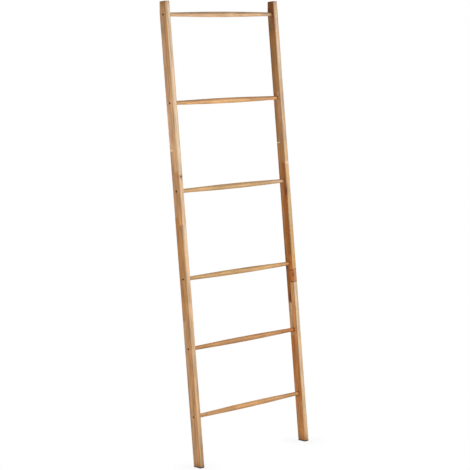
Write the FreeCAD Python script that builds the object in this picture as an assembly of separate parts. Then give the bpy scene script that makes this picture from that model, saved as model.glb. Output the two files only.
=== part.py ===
"""Leaning blanket ladder: two stiles, six turned rungs, twelve screws and two foot pads.

Millimetres, +Z up. The ladder leans back towards +Y, where its wall is. X runs across it.
The origin is the middle of the overall box, on the floor.
"""
import FreeCAD, Part
import math
import os

from FreeCAD import Vector

# Whole ladder
OVERALL_WIDTH = 640.0
STILE_LENGTH = 1853.0
LEAN_DEGREES = 5.5

# Stile section and its worked edges
STILE_WIDTH = 22.0
STILE_DEPTH = 39.0
LONG_EDGE_RADIUS = 1.5
TOP_EDGE_RADIUS = 1.0
WALL_FACE_LENGTH = 60.0

# Where the rungs cross the stiles, measured along the stile from its foot: the two lower gaps
# are set, and the rungs above them share what is left evenly
LOWEST_RUNG_PLACE = 200.0
LOWER_GAPS = (272.0, 280.0)
TOP_RUNG_TO_STILE_END = 53.0
UPPER_GAP_COUNT = 3

# A rung is straight in the middle and tapers to its ends
RUNG_MIDDLE_DIAMETER = 22.0
RUNG_END_DIAMETER = 15.5
RUNG_STRAIGHT_LENGTH = 76.0
RUNG_BLEND_LENGTH = 45.0
TENON_LENGTH = 10.0
TENON_END_CHAMFER = 0.8
GLUE_GAP = 0.1

# Screw through the stile into the end grain of a rung
SCREW_LENGTH = 45.0
SCREW_SHANK_DIAMETER = 4.5
SCREW_HEAD_DIAMETER = 8.6
SCREW_HEAD_RIM = 0.5
SCREW_HEAD_SINK = 0.4
SCREW_TIP_LENGTH = 5.0
DRIVE_ACROSS_FLATS = 3.0
DRIVE_DEPTH = 2.2
SCREW_HOLE_PLAY = 0.15
PILOT_HOLE_SPARE = 4.0

# Foot pad
PAD_THICKNESS = 4.5

LEAN = math.radians(LEAN_DEGREES)
HALF_WIDTH = OVERALL_WIDTH / 2
CLEAR_SPAN = OVERALL_WIDTH - 2 * STILE_WIDTH
RUNG_TAPER_LENGTH = (CLEAR_SPAN - RUNG_STRAIGHT_LENGTH) / 2 - RUNG_BLEND_LENGTH
SIDES = (("left", -1), ("right", 1))

# The pad lies under the level foot, so its front edge is the front of the whole ladder. Y is
# counted from the middle of the foot here.
LEVEL_HALF_DEPTH = STILE_DEPTH / 2 / math.cos(LEAN)
FRONT = -LEVEL_HALF_DEPTH

# The wall face is upright: it starts on the stile's rear face and runs to the top end
TOP_REAR = STILE_LENGTH * math.sin(LEAN) + STILE_DEPTH / 2 * math.cos(LEAN)
WALL_PLANE = TOP_REAR - WALL_FACE_LENGTH * math.sin(LEAN)

# Y of the middle of the foot, with the origin in the middle of the overall box
AXIS_FOOT = -(FRONT + WALL_PLANE) / 2


def rung_places():
    """Distance of each rung up the stile, from the lowest to the top one."""
    places = [LOWEST_RUNG_PLACE]
    for gap in LOWER_GAPS:
        places.append(places[-1] + gap)
    upper_gap = (STILE_LENGTH - TOP_RUNG_TO_STILE_END - places[-1]) / UPPER_GAP_COUNT
    for _ in range(UPPER_GAP_COUNT):
        places.append(places[-1] + upper_gap)
    return places


def on_axis(place):
    """Y and Z of the point of the stile's axis that is this far up from the foot."""
    return AXIS_FOOT + place * math.sin(LEAN), PAD_THICKNESS + place * math.cos(LEAN)


def box_between(low, high):
    """A box from its lowest to its highest corner."""
    size = high - low
    return Part.makeBox(size.x, size.y, size.z, low)


def across(radius, x_from, x_to, place, radius_to=None):
    """A cylinder or cone along X, centred on the stile's axis at a rung's place."""
    y, z = on_axis(place)
    start = Vector(x_from, y, z)
    direction = Vector(1 if x_to > x_from else -1, 0, 0)
    if radius_to is None:
        return Part.makeCylinder(radius, abs(x_to - x_from), start, direction)
    return Part.makeCone(radius, radius_to, abs(x_to - x_from), start, direction)


def stile_blank():
    """The planed stick, standing upright on the origin and longer than needed at the foot."""
    spare = STILE_DEPTH
    blank = box_between(
        Vector(-STILE_WIDTH / 2, -STILE_DEPTH / 2, -spare),
        Vector(STILE_WIDTH / 2, STILE_DEPTH / 2, STILE_LENGTH),
    )
    long_edges = [edge for edge in blank.Edges if edge.Length > STILE_LENGTH]
    blank = blank.makeFillet(LONG_EDGE_RADIUS, long_edges)
    top_edges = [edge for edge in blank.Edges if edge.BoundBox.ZMin > STILE_LENGTH - 1e-6]
    return blank.makeFillet(TOP_EDGE_RADIUS, top_edges)


def trim_to_floor_and_wall(stick):
    """Cut the foot level above its pad, and the top's rear edge upright."""
    reach = 2 * STILE_LENGTH
    floor_waste = box_between(Vector(-reach, -reach, -reach), Vector(reach, reach, PAD_THICKNESS))
    wall_waste = box_between(
        Vector(-reach, AXIS_FOOT + WALL_PLANE, -reach), Vector(reach, reach, reach)
    )
    return stick.cut([floor_waste, wall_waste])


def rung_seats(side):
    """Sockets for the tenons and countersunk holes for the screws, in one stile."""
    inner_face = side * (HALF_WIDTH - STILE_WIDTH)
    socket_end = inner_face + side * TENON_LENGTH
    outer_face = side * HALF_WIDTH
    cone_start = outer_face - side * (SCREW_HEAD_SINK + SCREW_HEAD_RIM)
    head_radius = SCREW_HEAD_DIAMETER / 2
    shank_radius = SCREW_SHANK_DIAMETER / 2
    cone_end = cone_start - side * (head_radius - shank_radius)
    overshoot = side
    seats = []
    for place in rung_places():
        seats += [
            across(RUNG_END_DIAMETER / 2 + GLUE_GAP, inner_face - overshoot, socket_end, place),
            across(shank_radius + SCREW_HOLE_PLAY, socket_end - overshoot, cone_start, place),
            across(head_radius, cone_start, cone_end, place, shank_radius),
            across(head_radius + SCREW_HOLE_PLAY, cone_start, outer_face + overshoot, place),
        ]
    return seats


def make_stile(side):
    """One leaning stile with its sockets and screw holes."""
    stick = stile_blank()
    stick.rotate(Vector(0, 0, 0), Vector(1, 0, 0), -LEAN_DEGREES)
    stick.translate(Vector(side * (HALF_WIDTH - STILE_WIDTH / 2), AXIS_FOOT, PAD_THICKNESS))
    return trim_to_floor_and_wall(stick).cut(rung_seats(side))


def taper_blend(corner, turn, half_length):
    """Arc from a rung's taper into its straight middle, tangent to both; with its start point."""
    start = corner - Vector(half_length * math.cos(turn), 0, half_length * math.sin(turn))
    end = corner + Vector(half_length, 0, 0)
    radius = half_length / math.tan(turn / 2)
    centre = Vector(end.x, 0, end.z - radius)
    half_turn = turn / 2
    middle = centre + Vector(-radius * math.sin(half_turn), 0, radius * math.cos(half_turn))
    return start, Part.Arc(start, middle, end).toShape()


def half_rung():
    """The left half of a rung about X, from its tenon to its middle, with a pilot hole."""
    end_radius = RUNG_END_DIAMETER / 2
    middle_radius = RUNG_MIDDLE_DIAMETER / 2
    shoulder = Vector(-CLEAR_SPAN / 2, 0, end_radius)
    taper_top = Vector(-CLEAR_SPAN / 2 + RUNG_TAPER_LENGTH, 0, middle_radius)
    turn = math.atan2(middle_radius - end_radius, RUNG_TAPER_LENGTH)
    blend_start, blend = taper_blend(taper_top, turn, RUNG_BLEND_LENGTH)
    straight_start = taper_top + Vector(RUNG_BLEND_LENGTH, 0, 0)
    straight_end = Vector(0, 0, middle_radius)
    centre = Vector(0, 0, 0)
    tip_x = shoulder.x - TENON_LENGTH
    tip_centre = Vector(tip_x, 0, 0)
    tip_edge = Vector(tip_x, 0, end_radius - TENON_END_CHAMFER)
    tenon_start = Vector(tip_x + TENON_END_CHAMFER, 0, end_radius)
    outline = [
        Part.makeLine(tip_centre, tip_edge),
        Part.makeLine(tip_edge, tenon_start),
        Part.makeLine(tenon_start, shoulder),
        Part.makeLine(shoulder, blend_start),
        blend,
        Part.makeLine(straight_start, straight_end),
        Part.makeLine(straight_end, centre),
        Part.makeLine(centre, tip_centre),
    ]
    body = Part.Face(Part.Wire(outline)).revolve(Vector(0, 0, 0), Vector(1, 0, 0), 360)
    wood_behind_tenon = STILE_WIDTH - TENON_LENGTH
    pilot_depth = SCREW_HEAD_SINK + SCREW_LENGTH - wood_behind_tenon + PILOT_HOLE_SPARE
    pilot = Part.makeCylinder(
        SCREW_SHANK_DIAMETER / 2, pilot_depth, Vector(tip_x, 0, 0), Vector(1, 0, 0)
    )
    return body.cut(pilot)


def make_rung(place):
    """A whole rung with both tenons, where it crosses the stiles."""
    left = half_rung()
    right = left.mirror(Vector(0, 0, 0), Vector(1, 0, 0))
    rung = left.fuse(right).removeSplitter()
    y, z = on_axis(place)
    rung.translate(Vector(0, y, z))
    return rung


def hexagon_prism(across_flats, x_from, x_to):
    """A hexagonal bar along X, for the drive socket of a screw."""
    corner_radius = across_flats / math.sqrt(3)
    corners = []
    for index in range(7):
        angle = math.radians(60 * index)
        corners.append(Vector(x_from, corner_radius * math.sin(angle), corner_radius * math.cos(angle)))
    return Part.Face(Part.makePolygon(corners)).extrude(Vector(x_to - x_from, 0, 0))


def make_screw(side, place):
    """Countersunk screw with a hex socket; its head is sunk just below the stile's outer face."""
    head_radius = SCREW_HEAD_DIAMETER / 2
    shank_radius = SCREW_SHANK_DIAMETER / 2
    head_top = HALF_WIDTH - SCREW_HEAD_SINK
    rim_end = head_top - SCREW_HEAD_RIM
    cone_end = rim_end - (head_radius - shank_radius)
    tip = head_top - SCREW_LENGTH
    shank_end = tip + SCREW_TIP_LENGTH
    outline = [
        Vector(head_top, 0, 0),
        Vector(head_top, 0, head_radius),
        Vector(rim_end, 0, head_radius),
        Vector(cone_end, 0, shank_radius),
        Vector(shank_end, 0, shank_radius),
        Vector(tip, 0, 0),
        Vector(head_top, 0, 0),
    ]
    screw = Part.Face(Part.makePolygon(outline)).revolve(Vector(0, 0, 0), Vector(1, 0, 0), 360)
    screw = screw.cut(hexagon_prism(DRIVE_ACROSS_FLATS, head_top - DRIVE_DEPTH, head_top + 1))
    if side < 0:
        screw = screw.mirror(Vector(0, 0, 0), Vector(1, 0, 0))
    y, z = on_axis(place)
    screw.translate(Vector(0, y, z))
    return screw


def make_foot_pad(side):
    """Pad of the same outline as the level foot above it."""
    middle_x = side * (HALF_WIDTH - STILE_WIDTH / 2)
    pad = box_between(
        Vector(middle_x - STILE_WIDTH / 2, AXIS_FOOT - LEVEL_HALF_DEPTH, 0),
        Vector(middle_x + STILE_WIDTH / 2, AXIS_FOOT + LEVEL_HALF_DEPTH, PAD_THICKNESS),
    )
    upright_edges = [edge for edge in pad.Edges if edge.BoundBox.ZLength > PAD_THICKNESS / 2]
    return pad.makeFillet(LONG_EDGE_RADIUS, upright_edges)


def make_ladder():
    """Every piece of the ladder by its name."""
    pieces = {}
    for name, side in SIDES:
        pieces[f"{name}_stile"] = make_stile(side)
        pieces[f"{name}_foot_pad"] = make_foot_pad(side)
        for number, place in enumerate(rung_places(), start=1):
            pieces[f"{name}_screw_{number}"] = make_screw(side, place)
    for number, place in enumerate(rung_places(), start=1):
        pieces[f"rung_{number}"] = make_rung(place)
    return pieces


os.makedirs("parts", exist_ok=True)
for name, shape in make_ladder().items():
    shape.exportStep(f"parts/{name}.step")
    print(name, len(shape.Solids), "solid, valid:", shape.isValid(), round(shape.Volume, 1), "mm3")
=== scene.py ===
"""A blanket ladder that leans on a wall: two stiles, six turned rungs, twelve screws, two foot pads.

Metres, +Z up, X across, +Y back to the wall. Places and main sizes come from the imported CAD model.
"""
import math

import bmesh
import bpy
from mathutils import Matrix, Vector


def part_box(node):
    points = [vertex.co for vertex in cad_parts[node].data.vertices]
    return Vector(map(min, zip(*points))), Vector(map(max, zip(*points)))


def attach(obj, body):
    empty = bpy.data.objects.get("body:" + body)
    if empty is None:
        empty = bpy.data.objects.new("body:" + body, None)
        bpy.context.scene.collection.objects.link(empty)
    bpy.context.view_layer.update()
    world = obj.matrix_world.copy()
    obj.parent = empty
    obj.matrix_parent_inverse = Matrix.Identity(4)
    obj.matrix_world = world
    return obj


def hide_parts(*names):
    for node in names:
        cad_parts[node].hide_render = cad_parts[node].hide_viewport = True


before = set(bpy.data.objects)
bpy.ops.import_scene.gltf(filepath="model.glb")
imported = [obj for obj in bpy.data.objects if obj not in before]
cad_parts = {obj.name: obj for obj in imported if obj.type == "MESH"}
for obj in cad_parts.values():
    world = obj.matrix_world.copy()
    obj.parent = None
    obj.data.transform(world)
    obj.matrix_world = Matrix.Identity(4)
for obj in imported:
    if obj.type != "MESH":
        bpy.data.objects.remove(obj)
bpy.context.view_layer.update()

scene = bpy.context.scene

# ---------------------------------------------------------------------------------------------
# Stiles: two leaning side rails of hardwood, each glued up from a back and a front strip, and
# each strip finger-jointed end to end from short staves. They are planed, eased along the edges
# and oiled. The foot is cut level, and the rear edge of the top upright, where it meets the wall.
# ---------------------------------------------------------------------------------------------
RUNG_NUMBERS = range(1, 7)
SIDES = {"left": -1, "right": 1}
STILE_LENGTH = 1.853
LONG_EDGE_RADIUS = 0.0015
TOP_EDGE_RADIUS = 0.0010
FOOT_EDGE_RADIUS = 0.0005
SOCKET_DEPTH = 0.010
SOCKET_RADIUS = 0.00785
SOCKET_CHAMFER = 0.0003
HEAD_HOLE_RADIUS = 0.00445
HEAD_HOLE_DEPTH = 0.0009
SHANK_HOLE_RADIUS = 0.0024
CUTTER_OVERSHOOT = 0.001
CUTTER_SIDES = 48
SHARP_DEGREES = 35


def node_middle(node):
    """Middle of a CAD node's box."""
    low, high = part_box(node)
    return (low + high) / 2


rung_middles = [node_middle(f"rung_{number}") for number in RUNG_NUMBERS]
rung_rise = rung_middles[-1] - rung_middles[0]
LEAN = math.atan2(rung_rise.y, rung_rise.z)
stile_low, stile_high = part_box("right_stile")
pad_low, pad_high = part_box("right_foot_pad")
STILE_WIDTH = stile_high.x - stile_low.x
STILE_DEPTH = (pad_high.y - pad_low.y) * math.cos(LEAN)
INNER_FACE = stile_low.x
OUTER_FACE = stile_high.x
STILE_MIDDLE_X = (INNER_FACE + OUTER_FACE) / 2
WALL_PLANE = stile_high.y
FOOT_HEIGHT = pad_high.z
FOOT_Y = (pad_low.y + pad_high.y) / 2


class Wire:
    """An output of a node. Sums written with it add their Math nodes."""

    def __init__(self, graph, socket):
        self.graph = graph
        self.socket = socket

    def math(self, operation, *values):
        return self.graph.node("ShaderNodeMath", {"operation": operation}, dict(enumerate(values)))

    def __add__(self, other):
        return self.math("ADD", self, other)

    def __radd__(self, other):
        return self.math("ADD", other, self)

    def __sub__(self, other):
        return self.math("SUBTRACT", self, other)

    def __rsub__(self, other):
        return self.math("SUBTRACT", other, self)

    def __mul__(self, other):
        return self.math("MULTIPLY", self, other)

    def __rmul__(self, other):
        return self.math("MULTIPLY", other, self)

    def __truediv__(self, other):
        return self.math("DIVIDE", self, other)

    def __rtruediv__(self, other):
        return self.math("DIVIDE", other, self)

    def __pow__(self, other):
        return self.math("POWER", self, other)

    def __lt__(self, other):
        return self.math("LESS_THAN", self, other)

    def __gt__(self, other):
        return self.math("GREATER_THAN", self, other)

    def __abs__(self):
        return self.math("ABSOLUTE", self)

    def at_least(self, other):
        return self.math("MAXIMUM", self, other)

    def at_most(self, other):
        return self.math("MINIMUM", self, other)

    def sine(self):
        return self.math("SINE", self)

    def to_and_fro(self, reach):
        """Climbs to reach and falls back to 0, over and over."""
        return self.math("PINGPONG", self, reach)

    def between(self, low, high):
        """0 below low, 1 above high and smooth between them."""
        settings = {"interpolation_type": "SMOOTHSTEP"}
        return self.graph.node("ShaderNodeMapRange", settings, {0: self, 1: low, 2: high})


class Graph:
    """A node tree, of a finish or of a shape, that is filled by expressions."""

    def __init__(self, tree):
        self.tree = tree

    def node(self, kind, settings=None, inputs=None, output=0):
        """Add a node: its settings first, then the values or wires of its sockets."""
        node = self.tree.nodes.new(kind)
        for name, value in (settings or {}).items():
            if name == "stops":
                self.set_stops(node.color_ramp, value)
            else:
                setattr(node, name, value)
        for name, value in (inputs or {}).items():
            if isinstance(value, Wire):
                self.tree.links.new(value.socket, node.inputs[name])
            else:
                node.inputs[name].default_value = value
        return Wire(self, node.outputs[output]) if node.outputs else None

    @staticmethod
    def set_stops(ramp, stops):
        """Give a ramp its places and colours."""
        for place, _ in stops[2:]:
            ramp.elements.new(place)
        for element, (place, colour) in zip(ramp.elements, stops):
            element.position = place
            element.color = colour

    def split(self, vector):
        """The X, Y and Z of a vector."""
        parts = self.node("ShaderNodeSeparateXYZ", inputs={0: vector}).socket.node
        return [Wire(self, socket) for socket in parts.outputs]

    def join(self, x, y, z):
        return self.node("ShaderNodeCombineXYZ", inputs={0: x, 1: y, 2: z})

    def vectors(self, operation, first, second):
        return self.node("ShaderNodeVectorMath", {"operation": operation}, {0: first, 1: second})

    def length(self, vector):
        return self.node("ShaderNodeVectorMath", {"operation": "LENGTH"}, {0: vector}, "Value")

    def scaled(self, vector, size):
        """A vector or a colour times one number."""
        inputs = {"Vector": vector, "Scale": size}
        return self.node("ShaderNodeVectorMath", {"operation": "SCALE"}, inputs)

    def noise(self, place, detail=2.0, roughness=0.5):
        """Noise from 0 to 1, mostly near a half, with features about one unit of place wide."""
        inputs = {"Vector": place, "Scale": 1.0, "Detail": detail, "Roughness": roughness}
        return self.node("ShaderNodeTexNoise", inputs=inputs)

    def blend(self, share, first, second):
        """Mix two colours by a share from 0 to 1."""
        settings = {"data_type": "RGBA", "blend_type": "MIX"}
        return self.node("ShaderNodeMix", settings, {0: share, 6: first, 7: second}, 2)

    def surface(self, height, strength, distance):
        """A normal bent by a height."""
        inputs = {"Height": height, "Strength": strength, "Distance": distance}
        return self.node("ShaderNodeBump", inputs=inputs)


def new_finish(name):
    """A new material and the graph of its empty tree."""
    material = bpy.data.materials.new(name)
    material.use_nodes = True
    material.node_tree.nodes.clear()
    return material, Graph(material.node_tree)


def close_finish(graph, inputs):
    """The surface shader with these inputs, and the material's output."""
    shader = graph.node("ShaderNodeBsdfPrincipled", inputs=inputs)
    graph.node("ShaderNodeOutputMaterial", inputs={"Surface": shader})


def tone(red, green, blue):
    """A colour from its 8-bit screen values."""
    linear = [((value / 255 + 0.055) / 1.055) ** 2.4 for value in (red, green, blue)]
    return (*linear, 1.0)


class ShapeTree:
    """A Geometry Nodes tree with named inputs, one of them the finish that it sets."""

    KINDS = {float: "NodeSocketFloat", Vector: "NodeSocketVector",
             bpy.types.Object: "NodeSocketObject"}

    def __init__(self, name, sizes):
        self.tree = bpy.data.node_groups.new(name, "GeometryNodeTree")
        self.graph = Graph(self.tree)
        new_socket = self.tree.interface.new_socket
        new_socket("Shape", in_out="OUTPUT", socket_type="NodeSocketGeometry")
        new_socket("Start", in_out="INPUT", socket_type="NodeSocketGeometry")
        new_socket("Finish", in_out="INPUT", socket_type="NodeSocketMaterial")
        for size_name, kind in sizes.items():
            new_socket(size_name, in_out="INPUT", socket_type=self.KINDS[kind])
        group_input = self.tree.nodes.new("NodeGroupInput")
        self.given = {socket.name: Wire(self.graph, socket) for socket in group_input.outputs}

    def close(self, shape):
        """End the tree: real geometry with its finish set."""
        real = self.graph.node("GeometryNodeRealizeInstances", inputs={"Geometry": shape})
        inputs = {"Geometry": real, "Material": self.given["Finish"]}
        finished = self.graph.node("GeometryNodeSetMaterial", inputs=inputs)
        self.graph.node("NodeGroupOutput", inputs={"Shape": finished})

    def add_to(self, piece, finish, sizes):
        """Put the tree on a piece as a modifier with these input values."""
        modifier = piece.modifiers.new(self.tree.name, "NODES")
        modifier.node_group = self.tree
        values = {"Finish": finish, **sizes}
        for item in self.tree.interface.items_tree:
            if item.name in values:
                modifier[item.identifier] = values[item.name]


def drum(graph, start, end, radius, end_radius):
    """A capped drum or cone along X from one place to another."""
    cone = graph.node("GeometryNodeMeshCone", inputs={
        "Vertices": CUTTER_SIDES, "Radius Bottom": radius, "Radius Top": end_radius,
        "Depth": end - start,
    })
    return graph.node("GeometryNodeTransform", inputs={
        "Geometry": cone, "Rotation": (0.0, math.pi / 2, 0.0),
        "Translation": graph.join(start, 0.0, 0.0),
    })


def cut_away(graph, shape, waste):
    """The shape without the waste."""
    return graph.node("GeometryNodeMeshBoolean", {"operation": "DIFFERENCE", "solver": "MANIFOLD"},
                      {"Mesh 1": shape, "Mesh 2": waste})


def rounded_rectangle(width, depth, radius, steps=6):
    """Points round a rectangle about the origin, anticlockwise seen from above."""
    points = []
    for quarter, (side_x, side_y) in enumerate(((1, 1), (-1, 1), (-1, -1), (1, -1))):
        for step in range(steps + 1):
            angle = math.radians(90 * quarter + 90 * step / steps)
            points.append((side_x * (width / 2 - radius) + radius * math.cos(angle),
                           side_y * (depth / 2 - radius) + radius * math.sin(angle)))
    return points


def rounding(radius, steps=4):
    """How far in and how far along an edge of this radius goes, from its flat end to its side."""
    angles = [math.radians(90 * step / steps) for step in range(steps + 1)]
    return [(radius * (1 - math.sin(angle)), radius * (1 - math.cos(angle))) for angle in angles]


def new_piece(name, points, edges=(), faces=()):
    """An object at the origin with this mesh."""
    mesh = bpy.data.meshes.new(name)
    mesh.from_pydata(points, edges, faces)
    piece = bpy.data.objects.new(name, mesh)
    scene.collection.objects.link(piece)
    return piece


def stacked(name, rings):
    """A closed piece from rings of points that lie over one another, the lowest first."""
    count = len(rings[0])
    points = [point for ring in rings for point in ring]
    faces = [tuple(reversed(range(count)))]
    for base in range(0, len(points) - count, count):
        for index in range(count):
            after = (index + 1) % count
            faces.append((base + index, base + after, base + count + after, base + count + index))
    faces.append(tuple(range(len(points) - count, len(points))))
    return new_piece(name, points, [], faces)


def make_stick(name, middle_x):
    """The planed and eased stick, level at the foot and square at the top, before it is bored."""
    rings = []
    for at_top, edges in ((False, rounding(FOOT_EDGE_RADIUS)), (True, rounding(TOP_EDGE_RADIUS)[::-1])):
        for inset, rise in edges:
            ring = []
            for x, depth in rounded_rectangle(STILE_WIDTH - 2 * inset, STILE_DEPTH - 2 * inset,
                                              LONG_EDGE_RADIUS - inset):
                up = STILE_LENGTH - rise if at_top else depth * math.tan(LEAN) + rise
                ring.append((middle_x + x,
                             FOOT_Y + depth * math.cos(LEAN) + up * math.sin(LEAN),
                             FOOT_HEIGHT + up * math.cos(LEAN) - depth * math.sin(LEAN)))
            rings.append(ring)
    stick = stacked(name, rings)
    shape = bmesh.new()
    shape.from_mesh(stick.data)
    bmesh.ops.bisect_plane(shape, geom=shape.verts[:] + shape.edges[:] + shape.faces[:],
                           plane_co=(0, WALL_PLANE, 0), plane_no=(0, 1, 0), clear_outer=True)
    bmesh.ops.holes_fill(shape, edges=[edge for edge in shape.edges if edge.is_boundary])
    bmesh.ops.recalc_face_normals(shape, faces=shape.faces)
    shape.to_mesh(stick.data)
    shape.free()
    return stick


def bore_tree():
    """Bores the stick that comes in, at every rung place, with places given outwards from X = 0:
    a socket from the inside, and from the outside a countersunk hole for the screw."""
    shape = ShapeTree("bores", {
        "Rung places": bpy.types.Object, "Turn": Vector, "Inner face": float, "Outer face": float,
        "Socket radius": float, "Socket depth": float, "Socket chamfer": float,
        "Head radius": float, "Head depth": float, "Shank radius": float,
    })
    graph, given = shape.graph, shape.given
    places = graph.node("GeometryNodeObjectInfo", inputs={"Object": given["Rung places"]},
                        output="Geometry")
    inner = given["Inner face"]
    outer = given["Outer face"]
    socket = given["Socket radius"]
    head = given["Head radius"]
    shank = given["Shank radius"]
    socket_end = inner + given["Socket depth"]
    cone_end = outer - given["Head depth"]
    cone_start = cone_end - head + shank
    bored = given["Start"]
    for cutter in (
        drum(graph, inner - CUTTER_OVERSHOOT, socket_end, socket, socket),
        drum(graph, inner - CUTTER_OVERSHOOT, inner + given["Socket chamfer"],
             socket + given["Socket chamfer"] + CUTTER_OVERSHOOT, socket),
        drum(graph, socket_end - CUTTER_OVERSHOOT, cone_end, shank, shank),
        drum(graph, cone_start, cone_end, shank, head),
        drum(graph, cone_end - CUTTER_OVERSHOOT / 10, outer + CUTTER_OVERSHOOT, head, head),
    ):
        cutters = graph.node("GeometryNodeInstanceOnPoints", inputs={
            "Points": places, "Instance": cutter, "Rotation": given["Turn"],
        })
        cutters = graph.node("GeometryNodeRealizeInstances", inputs={"Geometry": cutters})
        bored = cut_away(graph, bored, cutters)
    shape.close(bored)
    return shape


def settle(piece):
    """Turn what a piece's modifiers give into its own plain mesh, smooth but for sharp edges."""
    depsgraph = bpy.context.evaluated_depsgraph_get()
    mesh = bpy.data.meshes.new_from_object(piece.evaluated_get(depsgraph), depsgraph=depsgraph)
    mesh.name = piece.name
    piece.modifiers.clear()
    piece.data = mesh
    mesh.shade_smooth()
    mesh.set_sharp_from_angle(angle=math.radians(SHARP_DEGREES))
    normals = piece.modifiers.new("flat faces stay flat", "WEIGHTED_NORMAL")
    normals.keep_sharp = True
    normals.weight = 100


# The wood's marks in a metre: across it, through it and along its grain.
WANDERS_PER_METRE = (22.0, 22.0, 3.0)
FIBRES_PER_METRE = (900.0, 900.0, 22.0)
PORES_PER_METRE = (2400.0, 2400.0, 150.0)
DRIFTS_PER_METRE = (60.0, 60.0, 9.0)
RING_WANDER = 0.022
RING_SHARPNESS = 2.0
PORE_START = 0.62
PORE_FULL = 0.70
DRIFT_CONTRAST = 1.35
FIBRE_CONTRAST = 0.65
LATE_WOOD_TINT = (0.70, 0.59, 0.50)
LATE_WOOD_SHARE = 0.6
PORE_TINT = (0.52, 0.42, 0.36)
PORE_SHARE = 0.55
OILED_ROUGHNESS = 0.42
OILED_SPECULAR = 0.2
FIBRE_ROUGHNESS = 0.25
FIBRE_RELIEF = 0.6
PORE_RELIEF = 0.8
GRAIN_BUMP = 0.25
GRAIN_HEIGHT = 0.0003


def wood_figure(graph, board, pith, ring_gap):
    """Growth rings, fibres, pores and slow drift of wood whose grain runs along Z.

    board is the place in the wood in metres, and pith the middle of the tree seen along the grain.
    """
    wander = graph.noise(graph.vectors("MULTIPLY", board, WANDERS_PER_METRE))
    x, y, _ = graph.split(graph.vectors("SUBTRACT", board, pith))
    ring_distance = graph.length(graph.join(x, y, 0.0)) + wander * RING_WANDER
    rings = ((ring_distance * (2 * math.pi / ring_gap)).sine() * 0.5 + 0.5) ** RING_SHARPNESS
    fibres = graph.noise(graph.vectors("MULTIPLY", board, FIBRES_PER_METRE), detail=4.0, roughness=0.62)
    pores = graph.noise(graph.vectors("MULTIPLY", board, PORES_PER_METRE), detail=1.0)
    drift = graph.noise(graph.vectors("MULTIPLY", board, DRIFTS_PER_METRE), detail=3.0, roughness=0.55)
    return rings, fibres, pores.between(PORE_START, PORE_FULL), drift


def figured_wood(graph, plain, figure):
    """The plain tone of a piece of wood, marked by its figure."""
    rings, fibres, pores, drift = figure
    light = 1.0 + (drift - 0.5) * DRIFT_CONTRAST + (fibres - 0.5) * FIBRE_CONTRAST
    lit = graph.scaled(plain, light)
    late_wood = graph.vectors("MULTIPLY", lit, LATE_WOOD_TINT)
    marked = graph.blend(rings * LATE_WOOD_SHARE, lit, late_wood)
    pored = graph.vectors("MULTIPLY", marked, PORE_TINT)
    return graph.blend(pores * PORE_SHARE, marked, pored)


# Glue, the hearts of knots and of painted rung shadows, and the staves' own tones before the
# figure, the oil and the painted edge shade darken them. The face tones carry a painted sheen.
PALE_GLUE = tone(244, 214, 170)
DARK_BARK_AND_SHADOW = tone(80, 40, 0)
RED_BARK_AND_SHADOW = tone(120, 56, 0)
IVORY = tone(212, 186, 155)
CREAM = tone(201, 174, 139)
SAND = tone(192, 159, 122)
STRAW = tone(183, 149, 103)
OCHRE = tone(182, 140, 73)
BLUSH = tone(218, 178, 144)
ROSE = tone(213, 169, 127)
TAN = tone(187, 146, 107)
AMBER = tone(194, 144, 95)
HONEY = tone(184, 136, 83)
BROWN = tone(177, 126, 76)
GOLD = tone(203, 137, 77)
COPPER = tone(191, 114, 47)
GINGER = tone(179, 111, 51)
RUST = tone(162, 95, 37)
UMBER = tone(147, 87, 29)
WALNUT = tone(135, 96, 52)

FINGER_PITCH = 0.0032
FINGER_LENGTH = 0.0042
JOINT_STEP = 0.0001


def stave_tone(graph, staves, height):
    """Tone of a strip at a height. Each stave is its upper end and the tones at its two ends."""
    stops = []
    start = 0.0
    for end, low_tone, high_tone in staves:
        stops += [(start, low_tone), (end / STILE_LENGTH - JOINT_STEP, high_tone)]
        start = end / STILE_LENGTH
    return graph.node("ShaderNodeValToRGB", {"stops": stops}, {"Fac": height / STILE_LENGTH})


def stave_number(staves, height):
    """How many joints of a strip lie below a height."""
    return sum(height > end for end, _, _ in staves[:-1])


def stile_wood(graph, outwards):
    """Place in the stick: across it, through its depth and up it, from its middle at the foot."""
    foot = Vector((outwards * STILE_MIDDLE_X, FOOT_Y, FOOT_HEIGHT))
    upright = Matrix.Rotation(LEAN, 3, "X")
    place = graph.node("ShaderNodeTexCoord", output="Object")
    return graph.node("ShaderNodeMapping", {"vector_type": "POINT"}, {
        "Vector": place, "Rotation": upright.to_euler(), "Location": -(upright @ foot),
    })


# The edges of knots and of painted rung shadows are told in their own half sizes: 1 is where one
# with a sharp edge would end.
HEART_CORE = 0.5
HEART_EDGE = 1.1
HEART_SHARE = 0.93
HEART_RINGS = 10.0
HEART_RING_SHARE = 0.06
HALO_CORE = 0.8
HALO_EDGE = 2.6
HALO_TINT = (0.66, 0.50, 0.36)
HALO_SHARE = 0.55
MARK_WARP = 1.2


def knotted_and_shaded(graph, stick, plain, drift, knots_and_shadows):
    """Dark knots and painted rung shadows, each with a brown halo in the plain tone, and where
    their hearts are.

    Each is its middle in the stick, its half sizes, both across, through and up it, and the
    tone of its heart.
    """
    mark_hearts = []
    for middle, half_sizes, heart_tone in knots_and_shadows:
        from_middle = graph.vectors("SUBTRACT", stick, middle)
        away = graph.length(graph.vectors("DIVIDE", from_middle, half_sizes))
        away = away + (drift - 0.5) * MARK_WARP
        heart = 1.0 - away.between(HEART_CORE, HEART_EDGE)
        halo = 1.0 - away.between(HALO_CORE, HALO_EDGE)
        browned = graph.vectors("MULTIPLY", plain, HALO_TINT)
        ringed = HEART_SHARE + (away * HEART_RINGS).sine() * HEART_RING_SHARE
        plain = graph.blend(heart * ringed, graph.blend(halo * HALO_SHARE, plain, browned), heart_tone)
        mark_hearts.append(heart)
    return plain, sum(mark_hearts)


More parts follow.
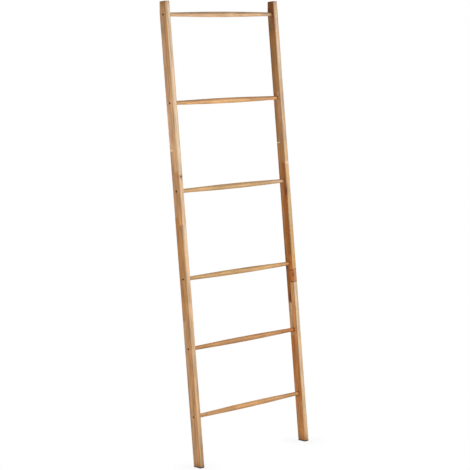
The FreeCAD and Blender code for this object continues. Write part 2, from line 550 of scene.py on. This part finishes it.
ARCH_TOP = 0.727
ARCH_FOOT = 0.675
ARCH_MIDDLE = 0.003
ARCH_FALL = 20.0
ARCH_WARP = 0.008
ARCH_LINE_CORE = 0.0010
ARCH_LINE_EDGE = 0.0040
ARCH_LINE_SHARE = 0.75
ARCH_STRIP_BLEND = 0.004
ARCH_FACE_START = -0.015
ARCH_TINT = (0.80, 0.62, 0.40)
ARCH_TINT_SHARE = 0.8


def arched(graph, stick, plain, drift):
    """A dark streak that arches over the low end of a stave in the front strip, another along the
    joint below it, and browner wood between the two."""
    across, depth, up = graph.split(stick)
    arch = ARCH_TOP - (across - ARCH_MIDDLE) ** 2.0 * ARCH_FALL + (drift - 0.5) * ARCH_WARP
    from_line = abs(up - arch).at_most(abs(up - ARCH_FOOT))
    in_front = depth.between(0.0, -ARCH_STRIP_BLEND)
    line = (1.0 - from_line.between(ARCH_LINE_CORE, ARCH_LINE_EDGE)) * in_front
    under = (up < arch) * (up > ARCH_FOOT) * depth.between(ARCH_FACE_START, -STILE_DEPTH / 2)
    tinted = graph.vectors("MULTIPLY", plain, ARCH_TINT)
    browned = graph.blend(under * ARCH_TINT_SHARE, plain, tinted)
    return graph.blend(line * ARCH_LINE_SHARE, browned, RED_BARK_AND_SHADOW)


END_GRAIN_SOAK = 0.035
END_GRAIN_FALL = 1.5
END_GRAIN_OIL = 0.8
REAR_EDGE_WIDTH = 0.005
REAR_EDGE_SHADE = 0.5
LONG_EDGE_SHADE_WIDTH = 0.006
LONG_EDGE_SHADE = 0.4
DARKENING_TINT = (0.58, 0.48, 0.36)


def darkened_ends_and_edges(graph, stick, colour):
    """The colour darker towards both ends, where the oil has soaked deeper into the end grain,
    and along the rear edge and the long edges, a painted shade of the eased edges.
    """
    across, depth, up = graph.split(stick)
    from_end = up.at_most(STILE_LENGTH - up).at_least(0.0)
    darker_ends = (1.0 - from_end / END_GRAIN_SOAK).at_least(0.0) ** END_GRAIN_FALL
    # Painted shade of the eased edges: darker along the rear edge and the long edges.
    rear_edge = depth.between(STILE_DEPTH / 2 - REAR_EDGE_WIDTH, STILE_DEPTH / 2)
    from_corner = (STILE_WIDTH / 2 - abs(across)) + (STILE_DEPTH / 2 - abs(depth))
    long_edge = 1.0 - from_corner.between(0.0, LONG_EDGE_SHADE_WIDTH)
    edges = (rear_edge * REAR_EDGE_SHADE).at_least(long_edge * LONG_EDGE_SHADE)
    darker = graph.vectors("MULTIPLY", colour, DARKENING_TINT)
    return graph.blend((darker_ends * END_GRAIN_OIL).at_least(edges), colour, darker)


STAVE_SPREAD = 3.0
STAVE_RING_GAP = 0.0085
PITH_SHIFT = (0.5, -0.1, 0.5)
PITH_REACH = (0.12, 0.09, 0.0)
FACE_LAYER = 0.004
FACE_WARP = 0.012
GLUE_LINE = 0.00035
GLUE_TINT = (0.6, 0.5, 0.42)
GLUE_SHARE = 0.6
STRIP_GLUE_SHARE = 0.5
PALE_JOINT_PLACE = 1.263
PALE_JOINT_HALF_HEIGHT = 0.0018
PALE_JOINT_SHARE = 0.8
END_LIGHT = 1.45
END_RING_CONTRAST = 0.95
END_FIBRE_CONTRAST = 1.2
DRIFT_ROUGHNESS = 0.12
JOINT_RELIEF = 0.4
MARK_RELIEF = 0.6


def stile_finish(name, outwards, back_staves, front_staves, face_sheen_staves, knots_and_shadows, has_arch):
    """Oiled wood of one stile, from lists of staves given from the foot up, and its marks.

    The front strip has its own paler tones at its face, a painted sheen over the staves' own tones.
    """
    material, graph = new_finish(name)
    stick = stile_wood(graph, outwards)
    across, depth, up = graph.split(stick)
    fingered = up + across.to_and_fro(FINGER_PITCH / 2) * (2 * FINGER_LENGTH / FINGER_PITCH)
    in_front = depth < 0.0

    def own_number(height):
        """A different number for every stave: those of the front strip follow the back ones."""
        back = stave_number(back_staves, height)
        front = stave_number(front_staves, height) + len(back_staves)
        return back + (front - back) * in_front

    number = own_number(fingered)
    joint = abs(own_number(fingered + GLUE_LINE) - number) > 0.5
    strip_line = abs(depth) < GLUE_LINE / 3
    stave = graph.blend(in_front, stave_tone(graph, back_staves, fingered),
                        stave_tone(graph, front_staves, fingered))
    face_sheen = stave_tone(graph, face_sheen_staves, fingered)

    own = graph.node("ShaderNodeTexWhiteNoise", {"noise_dimensions": "3D"},
                     {"Vector": graph.join(number, outwards, 0.0)}, "Color")
    cut_from = graph.scaled(own, STAVE_SPREAD)
    off_centre = graph.vectors("MULTIPLY", graph.vectors("SUBTRACT", own, PITH_SHIFT), PITH_REACH)
    figure = wood_figure(graph, graph.vectors("ADD", stick, cut_from),
                         graph.vectors("ADD", cut_from, off_centre), STAVE_RING_GAP)
    rings, fibres, pores, drift = figure

    # Within FACE_LAYER of the front face the paler tones are a painted sheen.
    front_face = -STILE_DEPTH / 2
    near_face = (depth + (drift - 0.5) * FACE_WARP).between(front_face + FACE_LAYER, front_face)
    plain = graph.blend(near_face, stave, face_sheen)
    if has_arch:
        plain = arched(graph, stick, plain, drift)
    # Knots, and on the right stile painted rung shadows drawn the same way.
    plain, mark_hearts = knotted_and_shaded(graph, stick, plain, drift, knots_and_shadows)
    colour = figured_wood(graph, plain, figure)

    glue = (joint + strip_line * STRIP_GLUE_SHARE).at_most(1.0)
    colour = graph.blend(glue * GLUE_SHARE, colour, graph.vectors("MULTIPLY", colour, GLUE_TINT))
    pale_joint = (abs(up - PALE_JOINT_PLACE) < PALE_JOINT_HALF_HEIGHT) * (1.0 - in_front)
    colour = graph.blend(pale_joint * PALE_JOINT_SHARE, colour, PALE_GLUE)
    colour = darkened_ends_and_edges(graph, stick, colour)
    end_light = END_LIGHT - rings * END_RING_CONTRAST + (fibres - 0.5) * END_FIBRE_CONTRAST
    top_end = up > STILE_LENGTH - TOP_EDGE_RADIUS / 2
    colour = graph.blend(top_end, colour, graph.scaled(colour, end_light))

    relief = fibres * FIBRE_RELIEF - pores * PORE_RELIEF - joint * JOINT_RELIEF - mark_hearts * MARK_RELIEF
    roughness = OILED_ROUGHNESS + (fibres - 0.5) * FIBRE_ROUGHNESS + (drift - 0.5) * DRIFT_ROUGHNESS
    close_finish(graph, {
        "Base Color": colour, "Roughness": roughness, "Specular IOR Level": OILED_SPECULAR,
        "Normal": graph.surface(relief, GRAIN_BUMP, GRAIN_HEIGHT),
    })
    return material


LEFT_BACK = ((0.589, TAN, TAN), (1.000, AMBER, BROWN), (1.263, TAN, TAN), (STILE_LENGTH, BLUSH, TAN))
LEFT_FRONT = ((0.66, AMBER, AMBER), (0.97, HONEY, BROWN), (1.18, AMBER, AMBER),
              (STILE_LENGTH, ROSE, AMBER))
# The front face's tones: a painted sheen over the staves' own tones.
LEFT_FACE_SHEEN = ((0.66, SAND, SAND), (0.97, SAND, CREAM), (1.18, SAND, SAND),
             (STILE_LENGTH, CREAM, IVORY))
LEFT_KNOTS = (((0.002, -0.020, 1.159), (0.0085, 0.007, 0.0072), DARK_BARK_AND_SHADOW),)
RIGHT_BACK = ((0.45, AMBER, COPPER), (0.589, AMBER, ROSE), (1.263, UMBER, BROWN),
              (STILE_LENGTH, BROWN, WALNUT))
RIGHT_FRONT = ((0.172, GOLD, GOLD), (0.675, GINGER, AMBER), (0.79, COPPER, GINGER),
               (1.18, RUST, RUST), (1.48, BROWN, TAN), (STILE_LENGTH, HONEY, UMBER))
# The front face's tones: a painted sheen over the staves' own tones.
RIGHT_FACE_SHEEN = ((0.172, SAND, CREAM), (0.675, CREAM, CREAM), (1.177, OCHRE, STRAW),
              (1.182, IVORY, IVORY), (1.48, STRAW, SAND), (STILE_LENGTH, CREAM, IVORY))
# The first, second and fifth marks, at the rear edge just above the top rung and just below the third
# rung, are painted rung shadows drawn like dark knots. The others are knots.
RIGHT_KNOTS_AND_PAINTED_SHADOWS = (((-0.011, 0.011, 1.818), (0.010, 0.016, 0.015), RED_BARK_AND_SHADOW),
               ((-0.011, 0.015, 1.809), (0.006, 0.011, 0.005), DARK_BARK_AND_SHADOW),
               ((-0.011, -0.015, 1.056), (0.004, 0.005, 0.020), RED_BARK_AND_SHADOW),
               ((-0.010, -0.020, 0.707), (0.006, 0.005, 0.010), RED_BARK_AND_SHADOW),
               ((-0.011, 0.017, 0.736), (0.008, 0.009, 0.009), DARK_BARK_AND_SHADOW),
               ((-0.011, 0.006, 0.609), (0.004, 0.004, 0.019), DARK_BARK_AND_SHADOW))
stile_finishes = {
    "left": stile_finish("left_stile_wood", -1, LEFT_BACK, LEFT_FRONT, LEFT_FACE_SHEEN, LEFT_KNOTS, False),
    "right": stile_finish("right_stile_wood", 1, RIGHT_BACK, RIGHT_FRONT, RIGHT_FACE_SHEEN, RIGHT_KNOTS_AND_PAINTED_SHADOWS, True),
}

bores = bore_tree()
rung_places = new_piece("rung_places", [(0.0, middle.y, middle.z) for middle in rung_middles])
for side_name, outwards in SIDES.items():
    stile = make_stick(f"{side_name}_stile_wood", outwards * STILE_MIDDLE_X)
    bores.add_to(stile, stile_finishes[side_name], {
        "Rung places": rung_places, "Turn": (0.0, 0.0, 0.0 if outwards > 0 else math.pi),
        "Inner face": INNER_FACE, "Outer face": OUTER_FACE, "Socket radius": SOCKET_RADIUS,
        "Socket depth": SOCKET_DEPTH, "Socket chamfer": SOCKET_CHAMFER,
        "Head radius": HEAD_HOLE_RADIUS, "Head depth": HEAD_HOLE_DEPTH,
        "Shank radius": SHANK_HOLE_RADIUS,
    })
    settle(stile)
    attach(stile, "root")
    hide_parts(f"{side_name}_stile")
bpy.data.objects.remove(rung_places)

# ---------------------------------------------------------------------------------------------
# Rungs: six round bars turned from the same hardwood. Each is straight at its middle and tapers
# to its ends, which are plain tenons glued 10 mm deep into sockets in the stiles' inner faces.
# ---------------------------------------------------------------------------------------------
RUNG_END_RADIUS = 0.00775
RUNG_STRAIGHT_LENGTH = 0.076
RUNG_BLEND_LENGTH = 0.045
RUNG_RINGS = 125
RUNG_SIDES = 64
PILOT_RADIUS = 0.00225
PILOT_DEPTH = 0.0374

rung_low, rung_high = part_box("rung_1")
RUNG_LENGTH = rung_high.x - rung_low.x
RUNG_MIDDLE_RADIUS = (rung_high.z - rung_low.z) / 2


def rung_tree():
    """A bar along X at every point. Its radius follows one rule: level in the middle, an even
    taper outwards, a soft blend between the two, and a straight tenon beyond the stile's face."""
    shape = ShapeTree("rung", {
        "Length": float, "Middle radius": float, "End radius": float, "Straight length": float,
        "Blend length": float, "Tenon length": float, "Pilot radius": float, "Pilot depth": float,
    })
    graph, given = shape.graph, shape.given
    half = given["Length"] / 2
    line = graph.node("GeometryNodeCurvePrimitiveLine", inputs={
        "Start": graph.join(0.0 - half, 0.0, 0.0), "End": graph.join(half, 0.0, 0.0),
    })
    line = graph.node("GeometryNodeResampleCurve", inputs={"Curve": line, "Count": RUNG_RINGS})

    along, _, _ = graph.split(graph.node("GeometryNodeInputPosition"))
    shoulder = half - given["Tenon length"]
    blend_start = given["Straight length"] / 2
    blend = given["Blend length"]
    corner = blend_start + blend
    slope = (given["Middle radius"] - given["End radius"]) / (shoulder - corner)
    past_straight = (abs(along).at_most(shoulder) - blend_start).at_least(0.0)
    in_blend = past_straight.at_most(2 * blend)
    in_taper = past_straight - in_blend
    radius = given["Middle radius"] - slope * (in_blend * in_blend / (4 * blend) + in_taper)

    circle = graph.node("GeometryNodeCurvePrimitiveCircle",
                        inputs={"Resolution": RUNG_SIDES, "Radius": 1.0})
    bar = graph.node("GeometryNodeCurveToMesh", inputs={
        "Curve": line, "Profile Curve": circle, "Scale": radius, "Fill Caps": True,
    })
    pilot = given["Pilot radius"]
    inner = half - given["Pilot depth"]
    outer = half + CUTTER_OVERSHOOT
    for start, end in ((0.0 - outer, 0.0 - inner), (inner, outer)):
        bar = cut_away(graph, bar, drum(graph, start, end, pilot, pilot))
    shape.close(graph.node("GeometryNodeInstanceOnPoints",
                           inputs={"Points": given["Start"], "Instance": bar}))
    return shape


BLANK_SPACING = (2.0, 3.0, 7.0)
RUNG_PITH_X = 0.035
RUNG_PITH_Y = 0.02
RUNG_RING_GAP = 0.0042
RIGHT_TONE_START = 0.17
RIGHT_TONE_FULL = 0.27
# Painted shade towards the stiles: where both rung ends start and finish darkening, and by how much.
END_SHADE_START = 0.18
END_SHADE_FULL = 0.31
END_SHADE_TINT = (0.82, 0.78, 0.72)
END_SHADE_SHARE = 0.5


def rung_finish(name, middle, plain, right_end, turn):
    """Oiled wood of one rung: its tone, its tone at the right end, and how its blank was turned
    about its own axis, in radians. Both ends are darker, a painted shade towards the stiles."""
    material, graph = new_finish(name)
    place = graph.node("ShaderNodeTexCoord", output="Object")
    upright = graph.node("ShaderNodeMapping", {"vector_type": "POINT"}, {
        "Vector": place, "Rotation": (turn, 0.0, 0.0),
        "Location": (0.0, -middle.y * math.cos(turn) + middle.z * math.sin(turn),
                     -middle.y * math.sin(turn) - middle.z * math.cos(turn)),
    })
    x, y, z = graph.split(upright)
    cut_from = middle.z * Vector(BLANK_SPACING)
    board = graph.vectors("ADD", graph.join(y, z, x), cut_from)
    pith = (cut_from.x + RUNG_PITH_X, cut_from.y + RUNG_PITH_Y, 0.0)
    figure = wood_figure(graph, board, pith, RUNG_RING_GAP)
    _, fibres, pores, _ = figure
    along = graph.blend(x.between(RIGHT_TONE_START, RIGHT_TONE_FULL), plain, right_end)
    # Painted shade: both ends darker towards the stiles.
    darker_ends = graph.vectors("MULTIPLY", along, END_SHADE_TINT)
    along = graph.blend(abs(x).between(END_SHADE_START, END_SHADE_FULL) * END_SHADE_SHARE, along, darker_ends)
    relief = fibres * FIBRE_RELIEF - pores * PORE_RELIEF
    close_finish(graph, {
        "Base Color": figured_wood(graph, along, figure),
        "Roughness": OILED_ROUGHNESS + (fibres - 0.5) * FIBRE_ROUGHNESS,
        "Specular IOR Level": OILED_SPECULAR,
        "Normal": graph.surface(relief, GRAIN_BUMP, GRAIN_HEIGHT),
    })
    return material


# The tone of each rung and of its right end, the lowest rung first.
RUNG_TONES = ((tone(188, 141, 89), HONEY), (tone(178, 129, 77), GINGER), (tone(185, 146, 95), HONEY),
              (tone(188, 150, 102), SAND), (tone(196, 149, 98), AMBER), (tone(199, 161, 121), SAND))
RUNG_TURN_STEP = 1.3
rung_shape = rung_tree()
for number, middle, (plain, right_end) in zip(RUNG_NUMBERS, rung_middles, RUNG_TONES):
    rung = new_piece(f"rung_{number}_wood", [middle])
    finish = rung_finish(f"rung_{number}_wood", middle, plain, right_end, number * RUNG_TURN_STEP)
    rung_shape.add_to(rung, finish, {
        "Length": RUNG_LENGTH, "Middle radius": RUNG_MIDDLE_RADIUS, "End radius": RUNG_END_RADIUS,
        "Straight length": RUNG_STRAIGHT_LENGTH, "Blend length": RUNG_BLEND_LENGTH,
        "Tenon length": SOCKET_DEPTH, "Pilot radius": PILOT_RADIUS, "Pilot depth": PILOT_DEPTH,
    })
    settle(rung)
    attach(rung, "root")
    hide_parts(f"rung_{number}")

# ---------------------------------------------------------------------------------------------
# Screws: one countersunk steel wood screw for each rung end, with a brown-black coating and a hex
# socket. It goes through the stile from outside into the rung's end grain, and its head sits just
# below the wood.
# ---------------------------------------------------------------------------------------------
HEAD_RIM = 0.0005
HEAD_EASING = 0.0002
SHANK_RADIUS = 0.00225
SMOOTH_SHANK_LENGTH = 0.012
CORE_RADIUS = 0.0016
CORE_SHOULDER = 0.0006
TIP_LENGTH = 0.005
TIP_RADIUS = 0.0001
THREAD_PITCH = 0.0020
DRIVE_WIDTH = 0.003
DRIVE_DEPTH = 0.0022
SCREW_SIDES = 40
THREAD_STEPS = 20
SCREW_TURN_STEP = 0.7

screw_low, screw_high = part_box("right_screw_1")
SCREW_LENGTH = screw_high.x - screw_low.x
HEAD_RADIUS = (screw_high.z - screw_low.z) / 2
HEAD_TOP = screw_high.x


def screw_tree():
    """Turns the outline that comes in about X, winds a thread on it, and cuts the hex socket.

    The outline is a line of points: X is the place along the screw from its head, Y the radius.
    """
    shape = ShapeTree("screw", {
        "Head place": Vector, "Turn": Vector, "Core radius": float, "Crest radius": float,
        "Thread start": float, "Thread end": float, "Pitch": float, "Drive radius": float,
        "Drive depth": float,
    })
    graph, given = shape.graph, shape.given
    outline = graph.node("GeometryNodeMeshToCurve", inputs={"Mesh": given["Start"]})
    x, radius, _ = graph.split(graph.node("GeometryNodeInputPosition"))
    outline = graph.node("GeometryNodeStoreNamedAttribute", {"data_type": "FLOAT", "domain": "POINT"},
                         {"Geometry": outline, "Name": "turned radius", "Value": radius})
    line = graph.node("GeometryNodeSetPosition", inputs={
        "Geometry": outline, "Position": graph.join(x, 0.0, 0.0),
    })
    turned_radius = graph.node("GeometryNodeInputNamedAttribute", {"data_type": "FLOAT"},
                               {"Name": "turned radius"})
    circle = graph.node("GeometryNodeCurvePrimitiveCircle",
                        inputs={"Resolution": SCREW_SIDES, "Radius": 1.0})
    blank = graph.node("GeometryNodeCurveToMesh", inputs={
        "Curve": line, "Profile Curve": circle, "Scale": turned_radius, "Fill Caps": True,
    })
    drive = graph.node("GeometryNodeMeshCylinder", inputs={
        "Vertices": 6, "Radius": given["Drive radius"],
        "Depth": given["Drive depth"] + CUTTER_OVERSHOOT,
    })
    drive = graph.node("GeometryNodeTransform", inputs={
        "Geometry": drive, "Rotation": (0.0, math.pi / 2, 0.0),
        "Translation": graph.join((CUTTER_OVERSHOOT - given["Drive depth"]) / 2, 0.0, 0.0),
    })
    blank = cut_away(graph, blank, drive)

    thread_length = given["Thread start"] - given["Thread end"]
    helix = graph.node("GeometryNodeCurveSpiral", inputs={
        "Resolution": THREAD_STEPS, "Rotations": thread_length / given["Pitch"],
        "Start Radius": given["Core radius"], "End Radius": given["Core radius"],
        "Height": thread_length,
    })
    ridge = graph.node("GeometryNodeCurvePrimitiveCircle", inputs={
        "Resolution": 3, "Radius": given["Crest radius"] - given["Core radius"],
    })
    thread = graph.node("GeometryNodeCurveToMesh",
                        inputs={"Curve": helix, "Profile Curve": ridge, "Fill Caps": True})
    thread = graph.node("GeometryNodeTransform", inputs={
        "Geometry": thread, "Rotation": (0.0, math.pi / 2, 0.0),
        "Translation": graph.join(given["Thread end"], 0.0, 0.0),
    })
    screw = graph.node("GeometryNodeJoinGeometry", inputs={0: blank})
    graph.tree.links.new(thread.socket, screw.socket.node.inputs[0])
    shape.close(graph.node("GeometryNodeTransform", inputs={
        "Geometry": screw, "Translation": given["Head place"], "Rotation": given["Turn"],
    }))
    return shape


BROWN_BLACK = tone(62, 27, 8)
RUBBED_BROWN = tone(92, 52, 24)
RUBBED_SHARE = 0.5
MOTTLES_PER_METRE = 900.0
RUBS_PER_METRE = 260.0
MOTTLE_DARKEST = 0.7
MOTTLE_CONTRAST = 0.6
COATING_ROUGHNESS = 0.42
COATING_SPECULAR = 0.2
MOTTLE_ROUGHNESS = 0.25
MOTTLE_BUMP = 0.2
MOTTLE_HEIGHT = 0.0001


def screw_finish():
    """Coated steel, brown-black with fine mottling, and rubbed a little brighter in places."""
    material, graph = new_finish("black_screw_steel")
    place = graph.node("ShaderNodeTexCoord", output="Object")
    mottle = graph.noise(graph.scaled(place, MOTTLES_PER_METRE), detail=3.0, roughness=0.6)
    rubbed = graph.noise(graph.scaled(place, RUBS_PER_METRE)).between(0.5, 0.7)
    colour = graph.blend(rubbed * RUBBED_SHARE, BROWN_BLACK, RUBBED_BROWN)
    close_finish(graph, {
        "Base Color": graph.scaled(colour, MOTTLE_DARKEST + mottle * MOTTLE_CONTRAST),
        "Roughness": COATING_ROUGHNESS + mottle * MOTTLE_ROUGHNESS,
        "Specular IOR Level": COATING_SPECULAR,
        "Normal": graph.surface(mottle, MOTTLE_BUMP, MOTTLE_HEIGHT),
    })
    return material


cone_end = -HEAD_RIM - (HEAD_RADIUS - SHANK_RADIUS)
core_start = cone_end - SMOOTH_SHANK_LENGTH
tip = -SCREW_LENGTH
SCREW_OUTLINE = (
    (0.0, HEAD_RADIUS - HEAD_EASING), (-HEAD_EASING, HEAD_RADIUS), (-HEAD_RIM, HEAD_RADIUS),
    (cone_end, SHANK_RADIUS), (core_start, SHANK_RADIUS), (core_start - CORE_SHOULDER, CORE_RADIUS),
    (tip + TIP_LENGTH, CORE_RADIUS), (tip, TIP_RADIUS),
)
screw_edges = [(index, index + 1) for index in range(len(SCREW_OUTLINE) - 1)]
screw_shape = screw_tree()
black_steel = screw_finish()
for side_name, outwards in SIDES.items():
    for number, middle in zip(RUNG_NUMBERS, rung_middles):
        screw = new_piece(f"{side_name}_screw_{number}_steel",
                          [(x, radius, 0.0) for x, radius in SCREW_OUTLINE], screw_edges)
        screw_shape.add_to(screw, black_steel, {
            "Head place": (outwards * HEAD_TOP, middle.y, middle.z),
            "Turn": (number * SCREW_TURN_STEP, 0.0, 0.0 if outwards > 0 else math.pi),
            "Core radius": CORE_RADIUS, "Crest radius": SHANK_RADIUS,
            "Thread start": core_start, "Thread end": tip + TIP_LENGTH, "Pitch": THREAD_PITCH,
            "Drive radius": DRIVE_WIDTH / math.sqrt(3), "Drive depth": DRIVE_DEPTH,
        })
        settle(screw)
        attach(screw, "root")
        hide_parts(f"{side_name}_screw_{number}")

# ---------------------------------------------------------------------------------------------
# Foot pads: thin dark rubber, one glued under each level foot, cut to its outline. The edge
# bulges a little from the load.
# ---------------------------------------------------------------------------------------------
PAD_BULGE = 0.0004
PAD_RING_HEIGHTS = (0.0, 0.06, 0.2, 0.5, 0.8, 0.94, 1.0)
DARK_RUBBER = tone(26, 20, 17)
DUSTY_RUBBER = tone(76, 66, 58)
DUST_SHARE = 0.25
GRAINS_PER_METRE = 1800.0
DUSTINGS_PER_METRE = (140.0, 140.0, 400.0)
GRAIN_DARKEST = 0.8
GRAIN_CONTRAST = 0.4
RUBBER_ROUGHNESS = 0.75
DUST_ROUGHNESS = 0.15
RUBBER_BUMP = 0.3
RUBBER_GRAIN_HEIGHT = 0.0001


def make_pad(name, low, high):
    """A slab as high as its box, rounded above and below, and fullest at its middle."""
    middle = (low + high) / 2
    size = high - low
    rings = []
    for share in PAD_RING_HEIGHTS:
        inset = PAD_BULGE * abs(2 * share - 1) ** 4
        outline = rounded_rectangle(size.x - 2 * inset, size.y - 2 * inset, LONG_EDGE_RADIUS - inset)
        rings.append([(middle.x + x, middle.y + y, low.z + share * size.z) for x, y in outline])
    return stacked(name, rings)


def pad_finish():
    """Dark brown-grey rubber, dull, with a fine grain and some dust."""
    material, graph = new_finish("pad_rubber")
    place = graph.node("ShaderNodeTexCoord", output="Object")
    grain = graph.noise(graph.scaled(place, GRAINS_PER_METRE), detail=3.0, roughness=0.6)
    dust = graph.noise(graph.vectors("MULTIPLY", place, DUSTINGS_PER_METRE), detail=3.0)
    dust = dust.between(0.45, 0.7)
    colour = graph.blend(dust * DUST_SHARE, DARK_RUBBER, DUSTY_RUBBER)
    close_finish(graph, {
        "Base Color": graph.scaled(colour, GRAIN_DARKEST + grain * GRAIN_CONTRAST),
        "Roughness": RUBBER_ROUGHNESS + dust * DUST_ROUGHNESS,
        "Normal": graph.surface(grain, RUBBER_BUMP, RUBBER_GRAIN_HEIGHT),
    })
    return material


rubber = pad_finish()
for side_name in SIDES:
    low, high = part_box(f"{side_name}_foot_pad")
    pad = make_pad(f"{side_name}_pad_rubber", low, high)
    pad.data.materials.append(rubber)
    settle(pad)
    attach(pad, "root")
    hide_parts(f"{side_name}_foot_pad")

# ---------------------------------------------------------------------------------------------
# Floor, white surroundings and lamps. The floor shows pure white; round each foot it shows a share
# of a lit grey paper, which takes the real shadow and adds a painted shade where no shadow falls.
# ---------------------------------------------------------------------------------------------
FLOOR_REACH = 60.0
SHADOW_START = 0.02
SHADOW_REACH = 0.13
SHADOW_DEPTH = 0.12
SIDE_LIGHT = 0.34
DIMMER_ABOVE = 0.18
WHITE = (1.0, 1.0, 1.0, 1.0)
PAPER_WHITE = (0.86, 0.86, 0.86, 1.0)


def seen_share(graph):
    """1 for rays that show the surroundings: from the camera, a reflection or through glass."""
    path = graph.node("ShaderNodeLightPath").socket.node.outputs
    seen = [Wire(graph, path[name]) for name in
            ("Is Camera Ray", "Is Glossy Ray", "Is Transmission Ray")]
    return (seen[0] + seen[1] + seen[2]).at_most(1.0)


floor_material, graph = new_finish("pale_floor")
place = graph.node("ShaderNodeTexCoord", output="Object")
x, y, _ = graph.split(place)
# Painted shade round each foot, over the real shadow that the paper takes there.
from_foot = graph.length(graph.join(abs(x) - STILE_MIDDLE_X, y - FOOT_Y, 0.0))
near_feet = 1.0 - from_foot.between(SHADOW_START, SHADOW_REACH)
paper = graph.node("ShaderNodeBsdfDiffuse", inputs={"Color": PAPER_WHITE})
glow = graph.node("ShaderNodeEmission", inputs={"Color": WHITE, "Strength": 1.0})
shown = graph.node("ShaderNodeMixShader", inputs={
    0: seen_share(graph) * (1.0 - near_feet * SHADOW_DEPTH), 1: paper, 2: glow,
})
graph.node("ShaderNodeOutputMaterial", inputs={"Surface": shown})

floor_mesh = bpy.data.meshes.new("floor")
floor_mesh.from_pydata([(x * FLOOR_REACH, y * FLOOR_REACH, 0.0)
                        for x, y in ((-1, -1), (1, -1), (1, 1), (-1, 1))], [], [(0, 1, 2, 3)])
floor_mesh.materials.append(floor_material)
floor = bpy.data.objects.new("floor", floor_mesh)
scene.collection.objects.link(floor)

world = bpy.data.worlds.new("white_studio")
scene.world = world
world.use_nodes = True
world.node_tree.nodes.clear()
graph = Graph(world.node_tree)
_, _, looking_up = graph.split(graph.node("ShaderNodeTexCoord", output="Generated"))
ambient = SIDE_LIGHT - looking_up.between(0.0, 0.8) * DIMMER_ABOVE
strength = ambient + (1.0 - ambient) * seen_share(graph)
background = graph.node("ShaderNodeBackground", inputs={"Color": WHITE, "Strength": strength})
graph.node("ShaderNodeOutputWorld", inputs={"Surface": background})


def soft_lamp(name, place, aim, width, height, watts):
    """A white softbox at a place, turned to face its aim."""
    light = bpy.data.lights.new(name, "AREA")
    light.shape = "RECTANGLE"
    light.size = width
    light.size_y = height
    light.energy = watts
    lamp = bpy.data.objects.new(name, light)
    lamp.location = place
    lamp.rotation_euler = (Vector(aim) - Vector(place)).to_track_quat("-Z", "Y").to_euler()
    scene.collection.objects.link(lamp)


soft_lamp("front_right_softbox", place=(1.70, -1.75, 1.22), aim=(0.0, 0.0, 0.95),
          width=0.9, height=1.5, watts=46.0)
soft_lamp("left_fill", place=(-1.55, -1.15, 1.27), aim=(0.0, 0.0, 1.1),
          width=0.6, height=0.7, watts=26.0)
soft_lamp("back_fill", place=(0.45, 3.20, 1.40), aim=(0.0, 0.0, 1.0),
          width=1.2, height=1.5, watts=60.0)

# ---------------------------------------------------------------------------------------------
# Camera: a long lens at a person's height, turned a little past front-left.
# ---------------------------------------------------------------------------------------------
CAMERA_TURN = math.radians(45.403)
CAMERA_DIP = math.radians(7.03)
CAMERA_ROLL = math.radians(-0.314)
CAMERA_DISTANCE = 7.1645
AIM_BEHIND_FEET = 0.11
AIM_ABOVE_PADS = 0.94
AIM_RIGHT = -0.0099
AIM_UP = 0.0462
FRAME_PIXELS = 470
FOCAL_PIXELS = 1747.93
SENSOR_WIDTH = 36.0
SIGHT_REACH = 200.0

forward = Vector((math.sin(CAMERA_TURN) * math.cos(CAMERA_DIP),
                  math.cos(CAMERA_TURN) * math.cos(CAMERA_DIP), -math.sin(CAMERA_DIP)))
level_right = Vector((math.cos(CAMERA_TURN), -math.sin(CAMERA_TURN), 0.0))
level_up = level_right.cross(forward)
right = level_right * math.cos(CAMERA_ROLL) + level_up * math.sin(CAMERA_ROLL)
up = level_up * math.cos(CAMERA_ROLL) - level_right * math.sin(CAMERA_ROLL)
camera_data = bpy.data.cameras.new("photo_camera")
camera_data.sensor_width = SENSOR_WIDTH
camera_data.lens = FOCAL_PIXELS / FRAME_PIXELS * SENSOR_WIDTH
camera_data.clip_end = SIGHT_REACH
camera = bpy.data.objects.new("photo_camera", camera_data)
aim = Vector((0.0, AIM_BEHIND_FEET + FOOT_Y, AIM_ABOVE_PADS + FOOT_HEIGHT))
place = aim - forward * CAMERA_DISTANCE - up * AIM_UP - right * AIM_RIGHT
turn = Matrix((right, up, -forward)).transposed().to_4x4()
camera.matrix_world = Matrix.Translation(place) @ turn
scene.collection.objects.link(camera)
scene.camera = camera
scene.view_settings.view_transform = "Standard"
